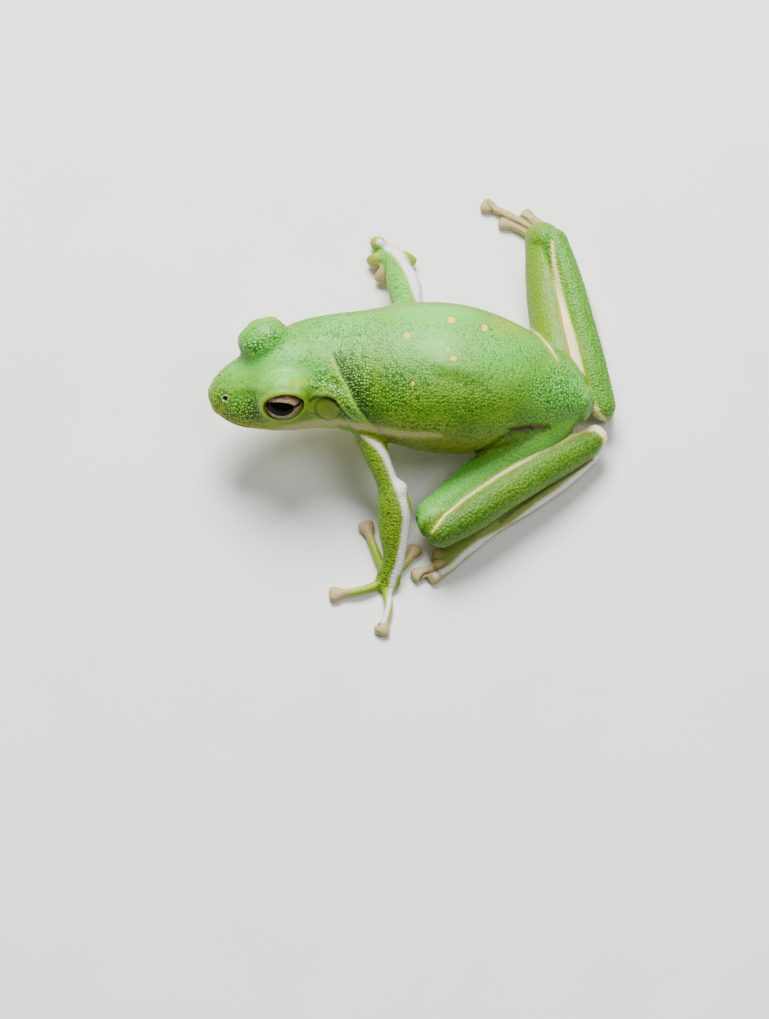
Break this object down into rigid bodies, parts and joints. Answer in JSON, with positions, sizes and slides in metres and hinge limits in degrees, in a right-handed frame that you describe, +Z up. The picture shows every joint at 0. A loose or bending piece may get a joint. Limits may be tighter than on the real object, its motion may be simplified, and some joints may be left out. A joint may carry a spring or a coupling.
{
  "type": "tree frog",
  "caption": "Life-size green tree frog at rest on a flat surface, head up, hind legs folded, fingers and toes spread on their round discs.",
  "frame": {"origin": "on the floor under the middle of the frog's bounding box", "axes": "+Z up from the floor, -Y the way the body points, +X the frog's left"},
  "size_m": [0.0626, 0.0522, 0.0189],
  "materials": {
    "skin_green": "satin, finely grained leaf-green frog skin",
    "skin_pale": "satin, pale tan skin of the fingers and toes",
    "eye_bronze": "wet, glossy eye"
  },
  "bodies": {
    "root": {"eye_left": "eye_bronze", "eye_right": "eye_bronze", "finger_1_left": "skin_pale", "finger_1_right": "skin_pale", "finger_2_left": "skin_pale", "finger_2_right": "skin_pale", "finger_3_left": "skin_pale", "finger_3_right": "skin_pale", "finger_4_left": "skin_pale", "finger_4_right": "skin_pale", "foot_left": "skin_green", "foot_right": "skin_green", "forearm_left": "skin_green", "forearm_right": "skin_green", "hand_left": "skin_green", "hand_right": "skin_green", "head": "skin_green", "shank_left": "skin_green", "shank_right": "skin_green", "tarsus_left": "skin_green", "tarsus_right": "skin_green", "thigh_left": "skin_green", "thigh_right": "skin_green", "toe_1_left": "skin_pale", "toe_1_right": "skin_pale", "toe_2_left": "skin_pale", "toe_2_right": "skin_pale", "toe_3_left": "skin_pale", "toe_3_right": "skin_pale", "toe_4_left": "skin_pale", "toe_4_right": "skin_pale", "toe_5_left": "skin_pale", "toe_5_right": "skin_pale", "torso": "skin_green", "upper_arm_left": "skin_green", "upper_arm_right": "skin_green"}
  },
  "joints": []
}
